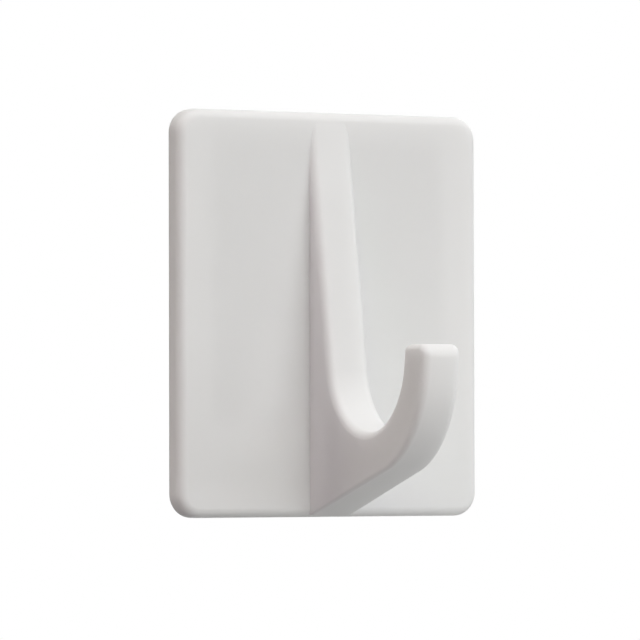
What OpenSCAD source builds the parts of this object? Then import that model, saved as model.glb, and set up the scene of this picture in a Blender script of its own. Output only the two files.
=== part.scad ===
// Adhesive wall hook: a slide-on front with a J hook, a base plate and a stretch-release strip.
// Frame: the wall is the plane Y = 0, the front faces -Y, +Z is up.
// The origin is on the wall, behind the middle of the front plate.

/* [Front plate] */
// Width of the front plate
plate_w = 50; // [46:0.5:70]
// Height of the front plate
plate_h = 60; // [56:0.5:80]
// Radius of the plate's corners, seen from the front
plate_corner_r = 3.5; // [2:0.1:8]
// Rounding of the plate's front edges
plate_edge_r = 1.4; // [0.4:0.1:1.8]
// Thickness of the plate's front wall
front_wall = 1.4; // [1:0.1:3]
// Thickness of the skirt that runs round the plate
skirt = 1.4; // [1:0.1:2]

/* [Hook] */
// Width of the hook where it leaves the plate
hook_w = 6.9; // [6:0.1:12]
// Draft of each side of the hook, in degrees, so that it narrows towards its prong
hook_draft = 0.6; // [0:0.1:2]
// Distance from the plate's top edge down to where the hook starts
rib_start = 1.6; // [1.6:0.1:8]
// Slope of the hook's front between its start and the saddle, in degrees
rib_slope = 9.2; // [4:0.1:12]
// Inner radius of the saddle
saddle_r = 11; // [6:0.1:13]
// Height of the saddle's centre above the plate's bottom edge
saddle_rise = 23.5; // [21:0.1:30]
// Lean of the prong away from the wall, in degrees
prong_lean = 8; // [2:0.5:12]
// Thickness of the prong
prong_t = 6.4; // [4:0.1:8]
// Height of the prong's tip above the saddle's centre
tip_rise = 1.4; // [1:0.1:8]
// Outer radius of the bend under the saddle
heel_r = 16.2; // [12:0.1:20]
// Slope of the straight underside, in degrees
heel_slope = 16.5; // [10:0.1:20]
// Height of the underside's foot above the plate's bottom edge
heel_foot = 0.2; // [0.1:0.1:2]
// Rounding of the edges along the saddle
saddle_edge_r = 1.2; // [0.3:0.1:1.3]
// Rounding of the edges along the underside
heel_edge_r = 0.6; // [0.3:0.1:1]
// Rounding of the edges along the prong's front
prong_edge_r = 1.3; // [0.3:0.1:1.6]
// Rounding of the tip over its sides and towards the wall
tip_edge_r = 0.9; // [0.3:0.1:1.2]
// Rounding of the tip over its front
tip_front_r = 2; // [0.5:0.1:2.5]
// Wall left round the hollow behind the hook
core_wall = 1.8; // [1.2:0.1:2.2]
// Depth of that hollow in front of the plate
core_reach = 9; // [3:0.5:12]

/* [Base plate] */
// Width of the base plate's front face
base_w = 38; // [30:0.5:40]
// Height of the base plate
base_h = 42; // [30:0.5:46]
// Thickness of the base plate
base_t = 1.4; // [1.2:0.1:3]
// How far each long edge is cut back behind, to make the dovetail
base_bevel = 1; // [0.5:0.1:1.5]
// Radius of the base plate's corners
base_corner_r = 2; // [0.5:0.1:4]
// Distance from the plate's top edge down to the base plate
base_inset = 4; // [3.5:0.1:8]
// Thickness of each rail inside the front plate
rail_t = 1.6; // [1:0.1:2]
// Distance from the plate's bottom edge up to the rails
rail_inset = 6; // [3:0.5:14]
// Thickness of the stop that rests on the base plate
stop_t = 1.4; // [1:0.1:2]

/* [Adhesive strip] */
// Width of the strip
strip_w = 20; // [12:0.5:30]
// Length of the strip with its tab
strip_len = 52; // [42:0.5:52]
// Radius of the strip's corners
strip_corner_r = 3; // [0.5:0.1:6]
// Length of the pull tab
tab_len = 9; // [6:0.5:12]
// Distance from the base plate's top edge down to the strip
strip_inset = 1.5; // [0.5:0.1:3]
// Thickness of the foam core
core_t = 0.7; // [0.4:0.05:1.5]
// Thickness of each adhesive layer and of each tab film
layer_t = 0.1; // [0.05:0.05:0.2]

/* [Fits] */
// Gap between the rails and the base plate's edges
rail_gap = 0.15; // [0.1:0.05:0.4]
// Gap between the base plate and the front plate
face_gap = 0.1; // [0.1:0.05:0.4]
// Gap between the front plate's skirt and the wall
wall_gap = 0.3; // [0.1:0.1:0.8]

/* [Hidden] */
$fn = 64;
// Depth by which pieces of one moulding run into each other, and by which cuts run past a face
weld = 0.3;
past = 1;
// Smallest rounding of an edge
least_r = 0.3;

// Distances from the wall, front to back
strip_t = core_t + 2 * layer_t;
base_front = strip_t + base_t;
inner_face = base_front + face_gap;
front_face = inner_face + front_wall;

// Heights
plate_top = plate_h / 2;
plate_bottom = -plate_h / 2;
base_top = plate_top - base_inset;
strip_top = base_top - strip_inset;
strip_bottom = strip_top - strip_len;
tab_top = strip_bottom + tab_len;
rail_bottom = plate_bottom + rail_inset;
rail_top = base_top + stop_t;

// Half the width between the rails, at the base plate's front and behind it
rail_front = base_w / 2 + rail_gap;
rail_rear = rail_front - base_bevel;
rail_back = rail_front + rail_t;

// The hook's side profile: distance in front of the plate, then height above its bottom edge
rib_top = plate_h - rib_start;
saddle = [
    tan(rib_slope) * (rib_top - saddle_rise) + saddle_r / cos(rib_slope),
    saddle_rise
];
prong_out = [cos(prong_lean), -sin(prong_lean)];
under_out = [sin(heel_slope), -cos(heel_slope)];
foot = [0, heel_foot];
tip_z = saddle_rise + tip_rise;
// Depth of the hook's root inside the plate, and of its first section under the plate's front
root = front_wall + weld;
sunk = 0.1;
root_foot = [-root, heel_foot];
// The heel's centre lies one heel radius inside the prong's front and the underside
front_reach = prong_out * saddle + saddle_r + prong_t - heel_r;
under_reach = under_out * foot - heel_r;
heel_det = prong_out.x * under_out.y - prong_out.y * under_out.x;
heel = [
    (front_reach * under_out.y - under_reach * prong_out.y) / heel_det,
    (prong_out.x * under_reach - under_out.x * front_reach) / heel_det
];

// Steps round each edge and along each stretch of the hook
edge_steps = 6;
rib_steps = 5;
root_steps = 8;
under_steps = 8;
heel_steps = 14;
prong_steps = 3;
tip_steps = 8;

// Angle from the saddle's centre to a point of the profile, from 0 to 360
function bearing(p) = let (a = atan2(p.y - saddle.y, p.x - saddle.x)) a < 0 ? a + 360 : a;

// Distance from the saddle's centre to a straight side, along a direction
function to_line(dir, out, reach) = out * dir > 0.001 ? reach / (out * dir) : 1000;

// Distance from the saddle's centre to the heel's arc, along a direction
function to_heel(dir) =
    let (from = saddle - heel, along = from * dir)
    sqrt(along * along - from * from + heel_r * heel_r) - along;

heel_start = bearing(heel + heel_r * under_out);
heel_end = bearing(heel + heel_r * prong_out);

// Rounding of the outer edges, which grows round the heel
function outer_edge(angle) =
    let (share = (angle - heel_start) / (heel_end - heel_start))
    heel_edge_r + (prong_edge_r - heel_edge_r) * min(max(share, 0), 1);

// Distance from the saddle's centre to the outside of the hook
function outer_reach(angle) =
    let (dir = [cos(angle), sin(angle)])
    angle > heel_start && angle < heel_end ? to_heel(dir) : min(
        to_line(dir, [-1, 0], saddle.x + root),
        to_line(dir, [0, -1], saddle.y - heel_foot),
        to_line(dir, under_out, under_out * (foot - saddle)),
        to_line(dir, prong_out, saddle_r + prong_t)
    );

function spread(from, to, steps) = [for (i = [0 : steps - 1]) from + (to - from) * i / steps];

bearings = concat(
    spread(180 + rib_slope, bearing(root_foot), root_steps),
    [bearing(root_foot)],
    spread(bearing(foot), heel_start, under_steps),
    spread(heel_start, heel_end, heel_steps),
    [heel_end, 360 - prong_lean]
);

// Inside and outside of the prong at a height
prong_foot = saddle + saddle_r * prong_out;
function prong_at(z, reach) =
    let (start = saddle + reach * prong_out)
    [start.x + (z - start.y) * tan(prong_lean), z];

// How far an edge of radius r is drawn in at a height
function drawn_in(z, r) = let (rise = min(max(z - tip_z + r, 0), r)) r - sqrt(r * r - rise * rise);

// Each section of the hook: inner point, outer point, how far its sides are drawn in, outer edge radius
rib_high = rib_top + sunk / tan(rib_slope);
rib_low = saddle.y - saddle_r * sin(rib_slope);
rib_sections = [
    for (z = spread(rib_high, rib_low, rib_steps))
        [[tan(rib_slope) * (rib_top - z), z], [-root, z], 0, heel_edge_r]
];
bend_sections = [
    for (a = bearings)
        let (dir = [cos(a), sin(a)])
        [saddle + saddle_r * dir, saddle + outer_reach(a) * dir, 0, outer_edge(a)]
];
shoulder = tip_z - tip_front_r;
prong_sections = [
    for (i = [1 : prong_steps])
        let (
            share = i / prong_steps,
            z_in = prong_foot.y + (shoulder - prong_foot.y) * share,
            foot_out = prong_foot + prong_t * prong_out,
            z_out = foot_out.y + (shoulder - foot_out.y) * share
        )
        [prong_at(z_in, saddle_r), prong_at(z_out, saddle_r + prong_t), 0, prong_edge_r]
];
tip_sections = [
    for (i = [1 : tip_steps])
        let (z = shoulder + tip_front_r * sin(90 * i / tip_steps), drawn = drawn_in(z, tip_edge_r))
        [
            prong_at(z, saddle_r) + [drawn, 0],
            prong_at(z, saddle_r + prong_t) - [drawn_in(z, tip_front_r), 0],
            drawn,
            prong_edge_r
        ]
];
sections = concat(rib_sections, bend_sections, prong_sections, tip_sections);

// One rounded rectangle across the hook, from its inner point to its outer point
function ring(section) =
    let (
        drawn = section[2],
        depth = norm(section[1] - section[0]),
        along = (section[1] - section[0]) / depth,
        r_in = max(saddle_edge_r - drawn, least_r),
        r_out = max(min(section[3] - drawn, depth - r_in), least_r)
    )
    [
        for (corner = [0 : 3], i = [0 : edge_steps])
            let (
                turn = -90 * (corner + i / edge_steps),
                r = corner < 2 ? r_in : r_out,
                u = (corner < 2 ? r : depth - r) + r * sin(turn),
                p = section[0] + u * along,
                half = hook_w / 2 - tan(hook_draft) * max(p.x, 0) - drawn,
                side = corner == 0 || corner == 3 ? 1 : -1,
                x = side * (half - r) + r * cos(turn)
            )
            [x, -front_face - p.x, plate_bottom + p.y]
    ];

// A rectangle with rounded corners, centred, in the plane of the plate
module rounded_rect(w, h, r) {
    square([w - 2 * r, h], center = true);
    square([w, h - 2 * r], center = true);
    for (x = [-1, 1], z = [-1, 1])
        translate([x * (w / 2 - r), z * (h / 2 - r)]) circle(r);
}

// Stands a flat outline up, with its back at one distance from the wall and its front at another
module stand(back, front) {
    translate([0, -back, 0]) rotate([90, 0, 0]) linear_extrude(front - back) children();
}

// The plate's outer form, before it is hollowed
module plate_blank() {
    straight_w = plate_w - 2 * plate_corner_r;
    straight_h = plate_h - 2 * plate_corner_r;
    edge_start = front_face - plate_edge_r;
    stand(wall_gap, edge_start) rounded_rect(plate_w, plate_h, plate_corner_r);
    stand(edge_start - weld, front_face)
        rounded_rect(plate_w - 2 * plate_edge_r, plate_h - 2 * plate_edge_r, plate_corner_r - plate_edge_r);
    for (x = [-1, 1])
        translate([x * (plate_w / 2 - plate_edge_r), -edge_start, 0])
            cylinder(r = plate_edge_r, h = straight_h, center = true);
    for (z = [-1, 1])
        translate([0, -edge_start, z * (plate_h / 2 - plate_edge_r)])
            rotate([0, 90, 0]) cylinder(r = plate_edge_r, h = straight_w, center = true);
    for (x = [-1, 1], z = [-1, 1])
        translate([x * straight_w / 2, -edge_start, z * straight_h / 2])
            rotate([90, 0, 0]) rotate_extrude()
                translate([plate_corner_r - plate_edge_r, 0]) circle(plate_edge_r);
}

// The J hook, swept through its sections
module hook_form() {
    rings = [for (s = sections) ring(s)];
    count = len(rings[0]);
    last = len(rings) - 1;
    sides = [
        for (i = [0 : last - 1], k = [0 : count - 1])
            let (a = i * count + k, b = i * count + (k + 1) % count)
            each [[a, b + count, b], [a, a + count, b + count]]
    ];
    start_cap = [[for (k = [0 : count - 1]) k]];
    end_cap = [[for (k = [count - 1 : -1 : 0]) last * count + k]];
    polyhedron([for (r = rings) each r], concat(sides, start_cap, end_cap));
}

// The hollow behind the plate, open below between the rails
module plate_hollow() {
    inside_r = max(plate_corner_r - skirt, least_r);
    stand(wall_gap - past, inner_face) {
        rounded_rect(plate_w - 2 * skirt, plate_h - 2 * skirt, inside_r);
        translate([-rail_back, plate_bottom - past]) square([2 * rail_back, plate_h / 2]);
    }
}

// The hollow behind the hook, which keeps its walls even
module hook_hollow() {
    half = hook_w / 2 - core_wall;
    top_z = rib_top - core_wall / sin(rib_slope);
    low_z = heel_foot + core_wall / cos(heel_slope);
    side = [
        [-front_wall - past, top_z],
        [0, top_z],
        [tan(rib_slope) * (top_z - saddle_rise), saddle_rise],
        [core_reach, saddle_rise],
        [core_reach, low_z + core_reach * tan(heel_slope)],
        [0, low_z],
        [-front_wall - past, low_z]
    ];
    translate([-half, -front_face, plate_bottom]) difference() {
        rotate([90, 0, 90]) linear_extrude(2 * half) mirror([1, 0]) polygon(side);
        translate([-past, -saddle.x, saddle.y]) rotate([0, 90, 0])
            cylinder(r = saddle_r + core_wall, h = 2 * half + 2 * past);
    }
}

// One rail with its undercut edge, on the side +X
module rail() {
    slope = base_bevel / base_t;
    root_y = inner_face + weld;
    translate([0, 0, rail_bottom]) linear_extrude(rail_top - rail_bottom) polygon([
        [rail_front + slope * (root_y - base_front), -root_y],
        [rail_rear, -strip_t],
        [rail_back, -strip_t],
        [rail_back + slope * weld, -root_y]
    ]);
}

module hook_cover() {
    color("whitesmoke") {
        difference() {
            union() {
                plate_blank();
                hook_form();
            }
            plate_hollow();
            hook_hollow();
        }
        rail();
        mirror([1, 0, 0]) rail();
        translate([-rail_back, -inner_face - weld, base_top])
            cube([2 * rail_back, inner_face + weld - strip_t, stop_t]);
    }
}

module base_plate() {
    middle = base_top - base_h / 2;
    rear = base_w / 2 - base_bevel;
    color("gainsboro") intersection() {
        translate([0, 0, base_top - base_h]) linear_extrude(base_h) polygon([
            [-base_w / 2, -base_front],
            [base_w / 2, -base_front],
            [rear, -strip_t],
            [-rear, -strip_t]
        ]);
        translate([0, 0, middle]) stand(strip_t - past, base_front + past)
            rounded_rect(base_w, base_h, base_corner_r);
    }
}

// The strip's outline, and the part of it above or below the tab's edge
module strip_outline() {
    translate([0, strip_top - strip_len / 2]) rounded_rect(strip_w, strip_len, strip_corner_r);
}

module bonded_outline() {
    intersection() {
        strip_outline();
        translate([-strip_w, tab_top]) square([2 * strip_w, strip_len]);
    }
}

module tab_outline() {
    difference() {
        strip_outline();
        translate([-strip_w, tab_top]) square([2 * strip_w, strip_len]);
    }
}

module strip_core() {
    color("white") stand(layer_t, layer_t + core_t) strip_outline();
}

module wall_adhesive() {
    color("lightyellow") stand(0, layer_t) bonded_outline();
}

module plate_adhesive() {
    color("lightyellow") stand(layer_t + core_t, strip_t) bonded_outline();
}

module tab_film_front() {
    color("lightsteelblue") stand(layer_t + core_t, strip_t) tab_outline();
}

module tab_film_rear() {
    color("lightsteelblue") stand(0, layer_t) tab_outline();
}

hook_cover();
base_plate();
strip_core();
wall_adhesive();
plate_adhesive();
tab_film_front();
tab_film_rear();
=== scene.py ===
import math

import bmesh
import bpy
import numpy as np
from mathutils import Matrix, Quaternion, Vector


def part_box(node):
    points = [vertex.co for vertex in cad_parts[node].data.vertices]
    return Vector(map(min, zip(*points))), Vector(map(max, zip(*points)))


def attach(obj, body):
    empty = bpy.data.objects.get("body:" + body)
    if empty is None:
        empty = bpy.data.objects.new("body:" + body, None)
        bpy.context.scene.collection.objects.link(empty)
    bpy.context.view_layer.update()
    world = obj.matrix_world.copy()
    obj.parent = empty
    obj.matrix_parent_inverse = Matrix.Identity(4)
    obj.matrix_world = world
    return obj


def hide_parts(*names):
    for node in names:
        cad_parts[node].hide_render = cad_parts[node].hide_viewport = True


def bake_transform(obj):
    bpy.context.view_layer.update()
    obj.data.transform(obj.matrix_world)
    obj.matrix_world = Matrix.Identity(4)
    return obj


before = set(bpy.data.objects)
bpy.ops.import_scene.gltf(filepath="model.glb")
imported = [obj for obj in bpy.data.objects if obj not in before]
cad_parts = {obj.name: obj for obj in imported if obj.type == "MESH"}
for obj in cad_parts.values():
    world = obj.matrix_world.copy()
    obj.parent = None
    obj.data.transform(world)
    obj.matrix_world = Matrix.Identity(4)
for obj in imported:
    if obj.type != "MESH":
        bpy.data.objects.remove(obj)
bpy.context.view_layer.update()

# Foam core of the stretch-release strip
# A band of white closed-cell foam, die-cut with round corners. It sits between two coats of adhesive,
# and its cut edges show the opened bubbles.


class Wire:
    """A node socket that takes part in Python sums: each sum adds its own Math node to the tree."""

    def __init__(self, tree, socket=None):
        self.tree = tree
        self.socket = socket

    def add(self, kind, settings=None, inputs=None, output=0):
        """Adds a node, sets it up, sets or links its inputs and gives back one of its outputs."""
        node = self.tree.nodes.new(kind)
        for name, value in (settings or {}).items():
            setattr(node, name, value)
        for key, value in (inputs or {}).items():
            if isinstance(value, Wire):
                self.tree.links.new(value.socket, node.inputs[key])
            else:
                node.inputs[key].default_value = value
        return Wire(self.tree, node.outputs[output])

    def math(self, operation, a, b=0.0):
        return self.add("ShaderNodeMath", {"operation": operation}, {0: a, 1: b})

    def __add__(self, other):
        return self.math("ADD", self, other)

    def __radd__(self, other):
        return self.math("ADD", other, self)

    def __sub__(self, other):
        return self.math("SUBTRACT", self, other)

    def __rsub__(self, other):
        return self.math("SUBTRACT", other, self)

    def __mul__(self, other):
        return self.math("MULTIPLY", self, other)

    def __rmul__(self, other):
        return self.math("MULTIPLY", other, self)

    def __truediv__(self, other):
        return self.math("DIVIDE", self, other)

    def __rtruediv__(self, other):
        return self.math("DIVIDE", other, self)

    def mix(self, dark, light):
        """Two colours mixed by this value."""
        return self.add("ShaderNodeMix", {"data_type": "RGBA"}, {0: self, 6: dark, 7: light}, output=2)


def finish_of(name, **constants):
    """A new material, the wire that its nodes hang on and its shader, with the shader's constants set."""
    material = bpy.data.materials.new(name)
    material.use_nodes = True
    shader = material.node_tree.nodes["Principled BSDF"]
    for socket, value in constants.items():
        shader.inputs[socket.replace("_", " ")].default_value = value
    return material, Wire(material.node_tree), shader


def noise(wire, size, detail=2.0, stretch=(1, 1, 1)):
    """Noise with features of about this size in metres, on the piece's own coordinates."""
    place = wire.add("ShaderNodeTexCoord", output=3)
    turned = wire.add("ShaderNodeMapping", inputs={"Vector": place, "Scale": stretch})
    return wire.add("ShaderNodeTexNoise", inputs={"Vector": turned, "Scale": 1 / size, "Detail": detail})


def dress(wire, shader, colour=None, roughness=None, height=None, depth=0.0):
    """Links what varies over a surface: its colour, its roughness and a relief of this depth in metres."""
    links = {"Base Color": colour, "Roughness": roughness}
    if height is not None:
        links["Normal"] = wire.add("ShaderNodeBump", inputs={"Distance": depth, "Height": height})
    for name, value in links.items():
        if value is not None:
            wire.tree.links.new(value.socket, shader.inputs[name])


def closed_mesh(name, rings):
    """A closed mesh through rings of equally many points, capped at both ends, facing outwards."""
    count = len(rings[0])
    points = [point for ring in rings for point in ring]
    faces = [list(range(count)), list(range(len(points) - count, len(points)))]
    for start in range(0, len(points) - count, count):
        for k in range(count):
            after = (k + 1) % count
            faces.append([start + k, start + after, start + count + after, start + count + k])
    mesh = bpy.data.meshes.new(name)
    mesh.from_pydata(points, [], faces)
    sculpt = bmesh.new()
    sculpt.from_mesh(mesh)
    bmesh.ops.recalc_face_normals(sculpt, faces=sculpt.faces)
    sculpt.to_mesh(mesh)
    sculpt.free()
    piece = bpy.data.objects.new(name, mesh)
    bpy.context.scene.collection.objects.link(piece)
    return piece


strip_corner_r = 0.003
strip_edge = 0.00003
neck_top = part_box("base_plate")[0].z
neck_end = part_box("tab_film_front")[1].z
row_step = 0.002
neck_rows = 12
corner_rows = 10


def band(name, node, round_low, round_high):
    """A flat band in the place of a CAD node, in rows up its height, with round corners where asked."""
    low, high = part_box(node)
    arc = [math.radians(90 * i / corner_rows) for i in range(corner_rows + 1)]
    rows = [(z, high.x) for z in np.arange(low.z + row_step, high.z - row_step, row_step)]
    rows += [(z, high.x) for z in np.linspace(neck_top, neck_end, neck_rows)]
    for end, inward, rounded in ((low.z, 1, round_low), (high.z, -1, round_high)):
        if rounded:
            limit = end + inward * strip_corner_r
            rows = [(z, w) for z, w in rows if (z - limit) * inward > 0]
            rows += [
                (limit - inward * strip_corner_r * math.sin(a), high.x - strip_corner_r * (1 - math.cos(a)))
                for a in arc
            ]
        else:
            rows = [(z, w) for z, w in rows if (z - end) * inward > 0]
            rows.append((end, high.x))
    rings = []
    for z, w in sorted(rows):
        side = [
            (w - strip_edge, low.y), (w, low.y + strip_edge),
            (w, high.y - strip_edge), (w - strip_edge, high.y),
        ]
        rings.append([(x, y, z) for x, y in side] + [(-x, y, z) for x, y in reversed(side)])
    return closed_mesh(name, rings)


cell_size = 0.00018
cell_depth = 0.00004
foam_shade = (0.74, 0.73, 0.70, 1)
foam_white = (0.88, 0.87, 0.84, 1)
foam, wire, shader = finish_of("closed_cell_foam", Roughness=0.85, Specular_IOR_Level=0.3)
cells = wire.add(
    "ShaderNodeTexVoronoi",
    inputs={"Vector": wire.add("ShaderNodeTexCoord", output=3), "Scale": 1 / cell_size},
)
dress(wire, shader, colour=cells.mix(foam_shade, foam_white), height=cells, depth=cell_depth)
foam_core = band("foam_core", "strip_core", True, True)
foam_core.data.materials.append(foam)
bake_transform(foam_core)
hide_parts("strip_core")

# Adhesive on the strip's two faces
# A thin coat of clear rubbery adhesive over each face of the foam, one against the wall and one against
# the base plate. It is tacky and a little glossy, and ends where the tab's films begin.
coat_deep = (0.83, 0.815, 0.755, 1)
coat_pale = (0.89, 0.88, 0.84, 1)
coat_relief = 0.00002
tack, wire, shader = finish_of("tacky_adhesive", Specular_IOR_Level=0.5, IOR=1.47)
ripple = noise(wire, size=0.0035, detail=3.0)
mottle = noise(wire, size=0.0009)
dress(
    wire,
    shader,
    colour=ripple.mix(coat_deep, coat_pale),
    roughness=0.2 + 0.2 * mottle,
    height=0.6 * ripple + 0.4 * mottle,
    depth=coat_relief,
)
for node in ("wall_adhesive", "plate_adhesive"):
    coat = band(node.replace("adhesive", "coat"), node, False, True)
    coat.data.materials.append(tack)
    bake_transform(coat)
    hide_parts(node)

# Films of the pull tab
# A thin satin film over each face of the strip's lower end, so that the fingers don't stick to it.
# Low ribs across both films give grip.


def rule_tree(name, inputs):
    """A Geometry Nodes tree with these named inputs, as the tree and its inputs by name."""
    tree = bpy.data.node_groups.new(name, "GeometryNodeTree")
    tree.interface.new_socket("Geometry", in_out="OUTPUT", socket_type="NodeSocketGeometry")
    for label, kind in inputs.items():
        tree.interface.new_socket(label, in_out="INPUT", socket_type="NodeSocket" + kind)
    entry = tree.nodes.new("NodeGroupInput")
    return tree, {label: Wire(tree, entry.outputs[label]) for label in inputs}


def plain_mesh(piece):
    """Leaves the piece with the mesh that its modifiers make, and no modifiers."""
    made = piece.evaluated_get(bpy.context.evaluated_depsgraph_get())
    mesh = bpy.data.meshes.new_from_object(made)
    piece.modifiers.clear()
    piece.data = mesh


def run_rule(piece, tree, result, values):
    """Runs a tree on a piece with these values for its inputs, and keeps what it makes as plain mesh."""
    end = tree.nodes.new("NodeGroupOutput")
    tree.links.new(result.socket, end.inputs["Geometry"])
    modifier = piece.modifiers.new(tree.name, "NODES")
    modifier.node_group = tree
    for item in tree.interface.items_tree:
        if item.in_out == "INPUT" and item.name in values:
            modifier[item.identifier] = values[item.name]
    plain_mesh(piece)


rib_sides = 12


def grip_ribs(film, sheet_material, first, step, count, length, height, width):
    """Adds low round ribs across a film, one above the other from a first point."""
    tree, given = rule_tree(
        "grip_ribs",
        {
            "Geometry": "Geometry", "First Rib": "Vector", "Step": "Vector", "Count": "Int",
            "Length": "Float", "Radii": "Vector", "Film": "Material",
        },
    )
    wire = Wire(tree)
    places = wire.add(
        "GeometryNodeMeshLine",
        inputs={"Count": given["Count"], "Start Location": given["First Rib"], "Offset": given["Step"]},
    )
    bar = wire.add(
        "GeometryNodeMeshCylinder",
        inputs={"Vertices": rib_sides, "Radius": 1.0, "Depth": given["Length"]},
    )
    lying = wire.add(
        "GeometryNodeTransform", inputs={"Geometry": bar, "Rotation": (0, math.pi / 2, 0)}
    )
    flat = wire.add("GeometryNodeTransform", inputs={"Geometry": lying, "Scale": given["Radii"]})
    ribs = wire.add("GeometryNodeInstanceOnPoints", inputs={"Points": places, "Instance": flat})
    joined = wire.add("GeometryNodeJoinGeometry", inputs={"Geometry": ribs})
    tree.links.new(given["Geometry"].socket, joined.socket.node.inputs["Geometry"])
    smooth = wire.add("GeometryNodeSetShadeSmooth", inputs={"Geometry": joined})
    real = wire.add("GeometryNodeRealizeInstances", inputs={"Geometry": smooth})
    done = wire.add("GeometryNodeSetMaterial", inputs={"Geometry": real, "Material": given["Film"]})
    values = {
        "First Rib": first, "Step": step, "Count": count, "Length": length,
        "Radii": (1, height, width), "Film": sheet_material,
    }
    run_rule(film, tree, done, values)
    film.data.materials.clear()
    film.data.materials.append(sheet_material)


film_cool = (0.76, 0.79, 0.82, 1)
film_pale = (0.85, 0.87, 0.885, 1)
film_relief = 0.000006
film_finish, wire, shader = finish_of("satin_film", Specular_IOR_Level=0.55, IOR=1.52)
haze = noise(wire, size=0.0012, detail=4.0)
drawn = noise(wire, size=0.0004, stretch=(0.1, 1, 1))
dress(
    wire,
    shader,
    colour=haze.mix(film_cool, film_pale),
    roughness=0.26 + 0.14 * haze,
    height=drawn,
    depth=film_relief,
)
rib_count = 6
rib_step = 0.0011
rib_first = 0.0016
rib_height = 0.00003
rib_width = 0.0002
rib_margin = 0.0025
for node, face, inward in (("tab_film_front", 0, 1), ("tab_film_rear", 1, -1)):
    film = band(node.replace("tab_film", "pull_film"), node, True, False)
    low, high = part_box(node)
    face_y = (low.y, high.y)[face] + inward * rib_height
    for vertex in film.data.vertices:
        if (vertex.co.y - face_y) * inward < 0:
            vertex.co.y = face_y
    grip_ribs(
        film, film_finish, (0, face_y, low.z + rib_first), (0, 0, rib_step), rib_count,
        2 * (high.x - rib_margin), rib_height, rib_width,
    )
    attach(film, "pull_tab")
    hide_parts(node)

# Base plate
# A flat moulding in matte white plastic, held to the wall by the strip. Its long edges are undercut, so
# the front slides down over it and can't be pulled off forwards.


def outline(half_w, half_h, radius, y, middle_z=0.0, steps=12):
    """A rectangle with round corners, standing in the plane at this Y."""
    points = []
    for corner in range(4):
        side = 1 if corner in (0, 3) else -1
        up = 1 if corner < 2 else -1
        for i in range(steps + 1):
            turn = math.radians(90 * (corner + i / steps))
            x = side * (half_w - radius) + radius * math.cos(turn)
            z = up * (half_h - radius) + radius * math.sin(turn)
            points.append((x, y, middle_z + z))
    return points


def satin_shading(piece, crease=40):
    """Smooth shading that keeps flat faces flat and breaks at creases sharper than this, in degrees."""
    piece.data.shade_smooth()
    piece.data.set_sharp_from_angle(angle=math.radians(crease))
    weighted = piece.modifiers.new("flat_faces", "WEIGHTED_NORMAL")
    weighted.keep_sharp = True
    plain_mesh(piece)


sliver = 0.000001


def combine(piece, tool, operation):
    """Joins a tool to the piece or cuts it away, and clears the tool and the slivers that this leaves."""
    modifier = piece.modifiers.new(operation, "BOOLEAN")
    modifier.object = tool
    modifier.operation = operation
    modifier.solver = "EXACT"
    plain_mesh(piece)
    bpy.data.objects.remove(tool)
    sculpt = bmesh.new()
    sculpt.from_mesh(piece.data)
    bmesh.ops.remove_doubles(sculpt, verts=sculpt.verts, dist=sliver)
    bmesh.ops.dissolve_degenerate(sculpt, dist=sliver, edges=sculpt.edges)
    sculpt.to_mesh(piece.data)
    sculpt.free()


mark_sides = 40


def pin_marks(name, plastic, middle, spread, counts, radius, depth):
    """Short round plugs in a grid, to sink the marks of a mould's ejector pins into a face with."""
    tree, given = rule_tree(
        "pin_marks",
        {
            "Middle": "Vector", "Across": "Float", "Up": "Float", "Columns": "Int", "Rows": "Int",
            "Radius": "Float", "Depth": "Float", "Plastic": "Material",
        },
    )
    wire = Wire(tree)
    grid = wire.add(
        "GeometryNodeMeshGrid",
        inputs={
            "Size X": given["Across"], "Size Y": given["Up"],
            "Vertices X": given["Columns"], "Vertices Y": given["Rows"],
        },
    )
    plug = wire.add(
        "GeometryNodeMeshCylinder",
        inputs={"Vertices": mark_sides, "Radius": given["Radius"], "Depth": 2 * given["Depth"]},
    )
    plugs = wire.add("GeometryNodeInstanceOnPoints", inputs={"Points": grid, "Instance": plug})
    upright = wire.add(
        "GeometryNodeTransform",
        inputs={"Geometry": plugs, "Translation": given["Middle"], "Rotation": (math.pi / 2, 0, 0)},
    )
    real = wire.add("GeometryNodeRealizeInstances", inputs={"Geometry": upright})
    done = wire.add("GeometryNodeSetMaterial", inputs={"Geometry": real, "Material": given["Plastic"]})
    marks = bpy.data.objects.new(name, bpy.data.meshes.new(name))
    bpy.context.scene.collection.objects.link(marks)
    values = {
        "Middle": middle, "Across": spread[0], "Up": spread[1], "Columns": counts[0], "Rows": counts[1],
        "Radius": radius, "Depth": depth, "Plastic": plastic,
    }
    run_rule(marks, tree, done, values)
    return marks


base_low, base_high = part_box("base_plate")
base_bevel = 0.001
base_corner_r = 0.002
base_edge_r = 0.00015
edge_share = 0.1
base_half_h = (base_high.z - base_low.z) / 2
base_middle = (base_high.z + base_low.z) / 2
base_rings = [
    outline(
        base_high.x - base_bevel * share - inset, base_half_h - inset, base_corner_r - inset,
        base_low.y + (base_high.y - base_low.y) * share, base_middle,
    )
    for share, inset in ((0, base_edge_r), (edge_share, 0), (1 - edge_share, 0), (1, base_edge_r))
]
base_shade = (0.70, 0.70, 0.69, 1)
base_white = (0.76, 0.76, 0.75, 1)
spark_relief = 0.00002
matte, wire, shader = finish_of("matte_base_plastic", Specular_IOR_Level=0.45)
spark = noise(wire, size=0.0003, detail=3.0)
flow = noise(wire, size=0.012)
dress(
    wire,
    shader,
    colour=flow.mix(base_shade, base_white),
    roughness=0.5 + 0.12 * spark,
    height=spark,
    depth=spark_relief,
)
base_piece = closed_mesh("base_moulding", base_rings)
base_piece.data.materials.append(matte)
mark_r = 0.0015
mark_depth = 0.0001
mark_counts = (2, 3)
base_marks = (0.028, 0.026)
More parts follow.
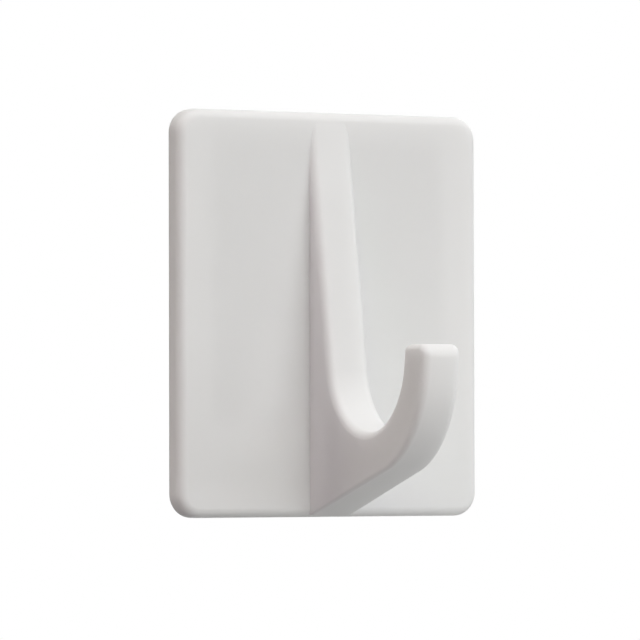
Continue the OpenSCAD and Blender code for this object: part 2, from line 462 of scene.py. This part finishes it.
rear_marks = pin_marks(
    "base_pin_marks", matte, (0, base_high.y, base_middle), base_marks, mark_counts, mark_r, mark_depth
)
combine(base_piece, rear_marks, "DIFFERENCE")
satin_shading(base_piece)
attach(base_piece, "base")
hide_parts("base_plate")

# Front with its J hook
# One moulding in satin white plastic: a shallow tray with a rounded front edge, and a hook that grows out
# of it as a rib, bends into a saddle and ends in a blunt prong. Rails and a stop inside grip the base.
cover_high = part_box("hook_cover")[1]
plate_half_w = cover_high.x
plate_half_h = cover_high.z
plate_corner_r = 0.0035
plate_edge_r = 0.0014
front_wall = 0.0014
skirt = 0.0014
rim_r = 0.0002
face_gap = 0.0001
inner_y = base_low.y - face_gap
front_y = inner_y - front_wall
edge_steps = 10

hook_half_w = 0.00345
hook_draft = math.radians(0.6)
rib_start = 0.0016
rib_slope = math.radians(9.2)
saddle_r = 0.011
saddle_rise = 0.0235
prong_lean = math.radians(8)
prong_t = 0.00639
tip_rise = 0.0014
heel_r = 0.0162
heel_slope = math.radians(16.5)
heel_foot = 0.0002
saddle_edge_r = 0.0012
heel_edge_r = 0.0006
prong_edge_r = 0.0013
tip_edge_r = 0.0009
tip_front_r = 0.002
least_edge_r = 0.0003
root_fillet_r = 0.0003
skin = 0.00001
root_depth = 0.0010
root_narrowing = 0.5


def unit(angle):
    """The direction at an angle, in the side profile."""
    return np.array((math.cos(angle), math.sin(angle)))


def bearing(point):
    """Angle from the saddle's centre to a point of the side profile, from 0 to a full turn."""
    away = point - saddle
    return math.atan2(away[1], away[0]) % (2 * math.pi)


# The side profile: distance in front of the plate, then height above its bottom edge
rib_top = 2 * plate_half_h - rib_start
saddle = np.array(
    (math.tan(rib_slope) * (rib_top - saddle_rise) + saddle_r / math.cos(rib_slope), saddle_rise)
)
prong_out = unit(-prong_lean)
under_out = unit(heel_slope - math.pi / 2)
foot = np.array((0.0, heel_foot))
inner_foot = np.array((-root_depth - skin, heel_foot))
front_reach = prong_out @ saddle + saddle_r + prong_t - heel_r
under_reach = under_out @ foot - heel_r
heel = np.linalg.solve(np.array((prong_out, under_out)), np.array((front_reach, under_reach)))
heel_start = bearing(heel + heel_r * under_out)
heel_end = bearing(heel + heel_r * prong_out)
tip_z = saddle_rise + tip_rise


least_slant = 0.001


def to_line(way, out, reach):
    """How far a ray goes to a line that lies this far out, and endless where it runs along the line."""
    return reach / (out @ way) if out @ way > least_slant else math.inf


def outer_point(angle):
    """Where a ray from the saddle's centre leaves the hook."""
    way = unit(angle)
    if heel_start < angle < heel_end:
        away = saddle - heel
        along = away @ way
        reach = math.sqrt(along**2 - away @ away + heel_r**2) - along
    else:
        reach = min(
            to_line(way, np.array((0.0, -1.0)), saddle[1] - heel_foot),
            to_line(way, under_out, under_out @ (foot - saddle)),
            to_line(way, prong_out, saddle_r + prong_t),
        )
    return saddle + reach * way


def prong_at(z, reach):
    """A point at a height on a face of the prong, this far out from the saddle's centre."""
    start = saddle + reach * prong_out
    return np.array((start[0] + (z - start[1]) * math.tan(prong_lean), z))


def fade(z):
    """Share of the root's fillet that is left at a height, gone where the plate's lower edge rounds off."""
    share = min(max((z - plate_edge_r) / (2 * plate_edge_r), 0), 1)
    return share * share * (3 - 2 * share)


# Sections of the hook: inner point, outer point, how far drawn in, edge radius behind (negative where it
# flares into the plate) and how far the root runs on into the plate
sections = []
rib_low = saddle[1] - saddle_r * math.sin(rib_slope)
rib_sections = 40
rib_crowding = 1.6
first_depth = 0.2 * skin
first_z = rib_top + (skin - first_depth) / math.tan(rib_slope)
for i in range(rib_sections):
    z = first_z + (rib_low - first_z) * (i / rib_sections) ** rib_crowding
    rib_front = (math.tan(rib_slope) * (rib_top - z), z)
    sections.append((rib_front, (-skin, z), 0, -root_fillet_r, root_depth))
root_end = bearing(inner_foot)
root_sections = 40
for angle in np.linspace(math.pi + rib_slope, root_end, root_sections):
    way = unit(angle)
    hit = saddle + to_line(way, np.array((-1.0, 0.0)), saddle[0] + skin) * way
    flare = -max(root_fillet_r * fade(hit[1]), skin)
    sections.append((saddle + saddle_r * way, hit, 0, flare, root_depth))
foot_sections = 6
under_sections = 16
heel_sections = 48
knee_sections = 2
runs = (
    (root_end, bearing(foot), foot_sections),
    (bearing(foot), heel_start, under_sections),
    (heel_start, heel_end, heel_sections),
    (heel_end, 2 * math.pi - prong_lean, knee_sections),
)
for start, end, count in runs:
    angles = np.linspace(start, end, count, endpoint=False)
    for angle in angles[1:] if start == root_end else angles:
        share = min(max((angle - heel_start) / (heel_end - heel_start), 0), 1)
        edge = heel_edge_r + (prong_edge_r - heel_edge_r) * share
        sections.append((saddle + saddle_r * unit(angle), outer_point(angle), 0, edge, 0))
prong_in = saddle + saddle_r * prong_out
prong_front = prong_in + prong_t * prong_out
shoulder = tip_z - tip_front_r
prong_sections = 6
for share in np.linspace(0, 1, prong_sections):
    z_in = prong_in[1] + (shoulder - prong_in[1]) * share
    z_out = prong_front[1] + (shoulder - prong_front[1]) * share
    sections.append((prong_at(z_in, saddle_r), prong_at(z_out, saddle_r + prong_t), 0, prong_edge_r, 0))


def drawn_in(z, r):
    """How far the tip's rounding of this radius is drawn in at a height."""
    rise = min(max(z - tip_z + r, 0), r)
    return r - math.sqrt(r * r - rise * rise)


tip_steps = 24
for i in range(1, tip_steps + 1):
    z = shoulder + tip_front_r * math.sin(math.radians(90 * i / tip_steps))
    drawn = drawn_in(z, tip_edge_r)
    start = prong_at(z, saddle_r) + (drawn, 0)
    end = prong_at(z, saddle_r + prong_t) - (drawn_in(z, tip_front_r), 0)
    sections.append((start, end, drawn, max(prong_edge_r - drawn, least_edge_r), 0))


def in_frame(point):
    """A point of the side profile in the frame, in the middle of the hook's width."""
    return (0.0, front_y - point[0], point[1] - plate_half_h)


def hook_spine():
    """A chain of points along the hook's inner side, each with what its section needs."""
    mesh = bpy.data.meshes.new("hook_sweep")
    chain = [(i, i + 1) for i in range(len(sections) - 1)]
    mesh.from_pydata([in_frame(section[0]) for section in sections], chain, [])
    outer = mesh.attributes.new("spine_outer", "FLOAT_VECTOR", "POINT")
    outer.data.foreach_set("vector", np.array([in_frame(section[1]) for section in sections]).ravel())
    for column, label in ((2, "spine_drawn"), (3, "spine_edge"), (4, "spine_sunk")):
        values = mesh.attributes.new(label, "FLOAT", "POINT")
        values.data.foreach_set("value", [section[column] for section in sections])
    spine = bpy.data.objects.new("hook_sweep", mesh)
    bpy.context.scene.collection.objects.link(spine)
    return spine


def sweep(spine, values):
    """Sweeps the hook's section along its spine: rounded in front, and rounded or flared behind."""
    tree, given = rule_tree(
        "hook_sweep",
        {
            "Geometry": "Geometry", "Half Width": "Float", "Draft": "Float", "Plate Front": "Float",
            "Front Edge": "Float", "Least Edge": "Float", "Steps": "Int", "Plastic": "Material",
        },
    )
    wire = Wire(tree)

    # Points round a section: each side has two rounded edges of one point more than the steps, and a root
    steps = given["Steps"]
    around = 4 * steps + 6
    path = wire.add("GeometryNodeMeshToCurve", inputs={"Mesh": given["Geometry"]})
    loop = wire.add("GeometryNodeCurvePrimitiveCircle", inputs={"Resolution": around})
    tube = wire.add(
        "GeometryNodeCurveToMesh", inputs={"Curve": path, "Profile Curve": loop, "Fill Caps": True}
    )

    # Which section a vertex belongs to, its step from the middle of the front and its side
    index = wire.add("GeometryNodeInputIndex")
    row = wire.math("FLOOR", index / around)
    place = index - row * around
    step = wire.math("MINIMUM", place, around - 1 - place)
    side = 1 - 2 * wire.math("GREATER_THAN", place, 2 * steps + 2.5)
    behind = wire.math("GREATER_THAN", step, steps + 0.5)
    sunk_in = wire.math("GREATER_THAN", step, 2 * steps + 1.5)

    def kept(kind, value):
        return wire.add(
            "GeometryNodeSampleIndex", {"data_type": kind},
            {"Geometry": given["Geometry"], "Value": value, "Index": row},
        )

    def stored(kind, label):
        return kept(kind, wire.add("GeometryNodeInputNamedAttribute", {"data_type": kind}, {"Name": label}))

    inner = kept("FLOAT_VECTOR", wire.add("GeometryNodeInputPosition"))
    outer = stored("FLOAT_VECTOR", "spine_outer")
    drawn = stored("FLOAT", "spine_drawn")
    edge = stored("FLOAT", "spine_edge")
    sunk = stored("FLOAT", "spine_sunk")
    away = wire.add("ShaderNodeVectorMath", {"operation": "SUBTRACT"}, {0: outer, 1: inner})
    reach = wire.add("ShaderNodeVectorMath", {"operation": "LENGTH"}, {0: away}, output=1)
    along = wire.add("ShaderNodeVectorMath", {"operation": "NORMALIZE"}, {0: away})

    # The section's two rounded edges, as a distance in from its side and along its depth
    front = wire.math("MAXIMUM", given["Front Edge"] - drawn, given["Least Edge"])
    bulge = wire.math("ABSOLUTE", edge)
    turn = wire.math("ARCCOSINE", wire.math("MAXIMUM", 1 - reach / (front + bulge), 0))
    front_turn = turn * wire.math("MINIMUM", step, steps) / steps
    front_x = front * wire.math("SINE", front_turn) - front
    front_depth = front - front * wire.math("COSINE", front_turn)
    rear_step = wire.math("MINIMUM", wire.math("MAXIMUM", step - steps - 1, 0), steps)
    rear_turn = turn - turn * rear_step / steps
    rear_x = (front - edge) * wire.math("SINE", turn) - front + edge * wire.math("SINE", rear_turn)
    rear_depth = reach - bulge + bulge * wire.math("COSINE", rear_turn)
    inset = front_x + behind * (rear_x - front_x)
    depth = front_depth + behind * (rear_depth - front_depth) + sunk_in * sunk

    shift = wire.add("ShaderNodeVectorMath", {"operation": "SCALE"}, {0: along, "Scale": depth})
    spot = wire.add("ShaderNodeVectorMath", {"operation": "ADD"}, {0: inner, 1: shift})
    parts = wire.add("ShaderNodeSeparateXYZ", inputs={0: spot}).socket.node.outputs
    y, z = Wire(tree, parts["Y"]), Wire(tree, parts["Z"])
    ahead = wire.math("MAXIMUM", given["Plate Front"] - y, 0)
    half = given["Half Width"] - given["Draft"] * ahead - drawn
    x = side * (half + inset) * (1 - root_narrowing * sunk_in)
    position = wire.add("ShaderNodeCombineXYZ", inputs={"X": x, "Y": y, "Z": z})
    shaped = wire.add("GeometryNodeSetPosition", inputs={"Geometry": tube, "Position": position})
    bare = wire.add(
        "GeometryNodeRemoveAttribute", {"pattern_mode": "WILDCARD"}, {"Geometry": shaped, "Name": "spine_*"}
    )
    real = wire.add("GeometryNodeRealizeInstances", inputs={"Geometry": bare})
    done = wire.add("GeometryNodeSetMaterial", inputs={"Geometry": real, "Material": given["Plastic"]})
    run_rule(spine, tree, done, values)


satin_shade = (0.845, 0.845, 0.848, 1)
satin_white = (0.865, 0.865, 0.868, 1)
grain_relief = 0.000004
satin, wire, shader = finish_of(
    "satin_white_plastic",
    Specular_IOR_Level=0.25,
    Subsurface_Weight=1.0,
    Subsurface_Radius=(1.0, 0.99, 0.98),
    Subsurface_Scale=0.0023,
)
grain = noise(wire, size=0.0002)
flow = noise(wire, size=0.015)
dress(
    wire,
    shader,
    colour=flow.mix(satin_shade, satin_white),
    roughness=0.58 + 0.08 * grain,
    height=grain,
    depth=grain_relief,
)
quarter = [math.radians(90 * i / edge_steps) for i in range(edge_steps + 1)]
rim_stride = 3
rim_y = cover_high.y - rim_r
plate_rows = [(rim_r * (1 - math.sin(t)), rim_y + rim_r * math.cos(t)) for t in quarter[::rim_stride]]
plate_rows += [(plate_edge_r * (1 - math.cos(t)), inner_y - plate_edge_r * math.sin(t)) for t in quarter]
cover = closed_mesh(
    "hook_front",
    [outline(plate_half_w - i, plate_half_h - i, plate_corner_r - i, y) for i, y in plate_rows],
)
hook = hook_spine()
sweep(
    hook,
    {
        "Half Width": hook_half_w, "Draft": math.tan(hook_draft), "Plate Front": front_y,
        "Front Edge": saddle_edge_r, "Least Edge": least_edge_r, "Steps": edge_steps, "Plastic": satin,
    },
)
combine(cover, hook, "UNION")

# The tray's hollow, open below between the rails
past = 0.001
rail_gap = 0.00015
rail_t = 0.0016
rail_front = base_high.x + rail_gap
rail_rear = rail_front - base_bevel
rail_back = rail_front + rail_t
hollow_rows = [(0, inner_y), (0, rim_y)]
hollow_rows += [
    (rim_r * (1 - math.cos(t)), rim_y + rim_r * math.sin(t)) for t in quarter[rim_stride::rim_stride]
]
hollow_rows += [(rim_r, cover_high.y + past)]
hollow_r = plate_corner_r - skirt
hollow = closed_mesh(
    "tray_hollow",
    [outline(plate_half_w - skirt + o, plate_half_h - skirt + o, hollow_r + o, y) for o, y in hollow_rows],
)
combine(cover, hollow, "DIFFERENCE")


def block(name, low, high):
    """A plain box between two corners."""
    corners = ((low[0], low[1]), (high[0], low[1]), (high[0], high[1]), (low[0], high[1]))
    return closed_mesh(name, [[(x, y, z) for x, y in corners] for z in (low[2], high[2])])


slot = block(
    "tray_mouth",
    (-rail_back, inner_y, -plate_half_h - past),
    (rail_back, cover_high.y + past, -plate_half_h + skirt + past),
)
combine(cover, slot, "DIFFERENCE")

# Two rails that reach behind the base plate's undercut edges, and a stop that rests on its top
weld = 0.0003
rail_inset = 0.006
stop_t = 0.0014
lean = base_bevel / (base_high.y - base_low.y)
rail_y = inner_y - weld
rail_top = base_high.z + stop_t
rail_side = (
    (rail_front + lean * (base_low.y - rail_y), rail_y),
    (rail_rear, base_high.y),
    (rail_back, base_high.y),
    (rail_back + lean * weld, rail_y),
)
for side in (-1, 1):
    ends = (rail_inset - plate_half_h, rail_top)
    rail = closed_mesh("rail", [[(side * x, y, z) for x, y in rail_side] for z in ends])
    combine(cover, rail, "UNION")
stop_end = (rail_rear + rail_back) / 2
stop = block(
    "stop",
    (-stop_end, rail_y - skin, base_high.z),
    (stop_end, base_high.y - skin, rail_top - skin),
)
combine(cover, stop, "UNION")

# The hollow behind the rib that keeps the hook's walls alike, and the marks of the ejector pins
core_wall = 0.0018
core_reach = 0.009
core_half_w = hook_half_w - core_wall
core_top = rib_top - core_wall / math.sin(rib_slope)
core_foot = heel_foot + core_wall / math.cos(heel_slope)
core_r = saddle_r + core_wall
core_turn = math.acos((core_reach - saddle[0]) / core_r)
core_side = [(-front_wall - past, core_foot), (-front_wall - past, core_top), (0, core_top)]
core_side.append((math.tan(rib_slope) * (core_top - saddle_rise), saddle_rise))
core_steps = 16
core_angles = np.linspace(math.pi, 2 * math.pi - core_turn, core_steps)
core_side += [saddle + core_r * unit(angle) for angle in core_angles]
core_side += [(core_reach, core_foot + core_reach * math.tan(heel_slope)), (0, core_foot)]
core = closed_mesh(
    "hook_hollow",
    [[(x, front_y - d, z - plate_half_h) for d, z in core_side] for x in (-core_half_w, core_half_w)],
)
combine(cover, core, "DIFFERENCE")
front_marks = (0.024, 0.036)
inner_marks = pin_marks(
    "front_pin_marks", satin, (0, inner_y, 0), front_marks, mark_counts, mark_r, mark_depth
)
combine(cover, inner_marks, "DIFFERENCE")

cover.data.materials.clear()
cover.data.materials.append(satin)
satin_shading(cover)
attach(cover, "cover")
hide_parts("hook_cover")

# Studio
# A pale floor below the object that keeps its shadow and turns to plain white further out, a white
# surround, and soft lamps all round: the key light high in front, one overhead, and the rest at the
# sides and behind.
floor_z = -0.075
floor_t = 0.01
floor_half = 4.0
floor = block(
    "studio_floor", (-floor_half, -floor_half, floor_z - floor_t), (floor_half, floor_half, floor_z)
)
# Only bounced light sees the floor painted for light and shade on the object: bright close by, dimmer
# further out, and painted shade to the left and behind, which darkens the object's left sides and underside
floor_pale = (0.85, 0.85, 0.85, 1)
floor_near = (0.78, 0.78, 0.78, 1)
floor_far = (0.36, 0.36, 0.36, 1)
floor_painted_shade = (0.12, 0.12, 0.12, 1)
painted_shade_edge = -0.06
painted_shade_end = 0.03
painted_shade_behind_start = -0.04
painted_shade_behind_end = 0.03
painted_shade_behind_share = 0.55
dim_start = 0.1
dim_end = 0.3
white_start = 0.15
white_end = 0.5
pale, wire, shader = finish_of("pale_floor", Roughness=0.9, Specular_IOR_Level=0.2)


def seen_directly(wire):
    """1 for rays that show the studio itself: from the camera, in gloss or through something clear."""
    camera_ray = wire.add("ShaderNodeLightPath")
    kinds = camera_ray.socket.node.outputs
    gloss, through = (Wire(wire.tree, kinds[kind]) for kind in ("Is Glossy Ray", "Is Transmission Ray"))
    return wire.math("MINIMUM", camera_ray + gloss + through, 1)


def ramp(value, start, end):
    """0 to 1 as a value goes from its start to its end, eased at both ends."""
    return wire.add(
        "ShaderNodeMapRange", {"interpolation_type": "SMOOTHSTEP"}, {0: value, 1: start, 2: end}
    )


shown = seen_directly(wire)
place = wire.add("ShaderNodeTexCoord", output=3)
across = wire.add("ShaderNodeSeparateXYZ", inputs={0: place})
deep = Wire(wire.tree, across.socket.node.outputs["Y"])
away = wire.add("ShaderNodeVectorMath", {"operation": "LENGTH"}, {0: place}, output=1)
bright = ramp(away, dim_start, dim_end).mix(floor_near, floor_far)
# Painted shade: for bounced light the floor turns dark to the left and partly dark behind
clear_of_painted_shade = ramp(across, painted_shade_edge, painted_shade_end) * (1 - painted_shade_behind_share * ramp(deep, painted_shade_behind_start, painted_shade_behind_end))
dress(wire, shader, colour=shown.mix(clear_of_painted_shade.mix(floor_painted_shade, bright), floor_pale))
far = ramp(away, white_start, white_end)
white = wire.add("ShaderNodeEmission", inputs={"Color": (1, 1, 1, 1), "Strength": 1.0})
lit = Wire(wire.tree, shader.outputs[0])
mixed = wire.add("ShaderNodeMixShader", inputs={0: far * shown, 1: lit, 2: white})
wire.tree.links.new(mixed.socket, wire.tree.nodes["Material Output"].inputs["Surface"])
floor.data.materials.append(pale)

surround_light = 0.05
world = bpy.data.worlds.new("white_surround")
world.use_nodes = True
bpy.context.scene.world = world
wire = Wire(world.node_tree)
shown = seen_directly(wire)
strength = surround_light + (1 - surround_light) * shown
background = world.node_tree.nodes["Background"]
background.inputs["Color"].default_value = (1, 1, 1, 1)
wire.tree.links.new(strength.socket, background.inputs["Strength"])


def softbox(name, place, size, power, colour=(1, 1, 1)):
    """A square lamp at a place, turned to the object's middle."""
    lamp = bpy.data.lights.new(name, "AREA")
    lamp.shape = "SQUARE"
    lamp.size = size
    lamp.energy = power
    lamp.color = colour
    holder = bpy.data.objects.new(name, lamp)
    holder.location = place
    holder.rotation_mode = "QUATERNION"
    holder.rotation_quaternion = (-Vector(place)).to_track_quat("-Z", "Y")
    bpy.context.scene.collection.objects.link(holder)


softbox("top_lamp", place=(0.0, -0.134, 1.092), size=0.6, power=2.45)
softbox("key_lamp", place=(0.0, -0.778, 0.778), size=0.8, power=5.9)
softbox("right_lamp", place=(0.692, -0.824, 0.229), size=0.6, power=2.95)
softbox("left_lamp", place=(-0.641, -0.764, 0.465), size=0.6, power=1.9, colour=(0.98, 1.0, 0.81))
softbox("low_left_lamp", place=(-1.023, -0.332, 0.229), size=0.5, power=0.56, colour=(1.0, 0.22, 0.68))
softbox("rear_left_lamp", place=(-0.835, 0.585, 0.412), size=0.6, power=2.45, colour=(1.0, 1.0, 0.88))
softbox("rear_right_lamp", place=(0.817, 0.572, 0.465), size=0.6, power=3.4)

# Camera at the photograph's angle: 27.6 degrees to the left of straight on, a little below the middle
view_yaw = math.radians(27.6)
view_pitch = math.radians(1.584)
view_roll = 0.0026
view_distance = 0.7136
view_height = -0.02056
view_offset = 0.001574
view_lens = 270.85
camera_data = bpy.data.cameras.new("photo_camera")
camera_data.lens = view_lens
camera_data.sensor_width = 36
camera = bpy.data.objects.new("photo_camera", camera_data)
level = Vector((math.sin(view_yaw), math.cos(view_yaw), 0))
right = Vector((math.cos(view_yaw), -math.sin(view_yaw), 0))
ahead = level * math.cos(view_pitch) + Vector((0, 0, math.sin(view_pitch)))
camera.location = Vector((0, front_y, view_height)) - view_distance * level - view_offset * right
camera.rotation_mode = "QUATERNION"
camera.rotation_quaternion = Quaternion(ahead, view_roll) @ ahead.to_track_quat("-Z", "Y")
bpy.context.scene.collection.objects.link(camera)
bpy.context.scene.camera = camera
bpy.context.scene.view_settings.view_transform = "Standard"

bpy.context.view_layer.update()
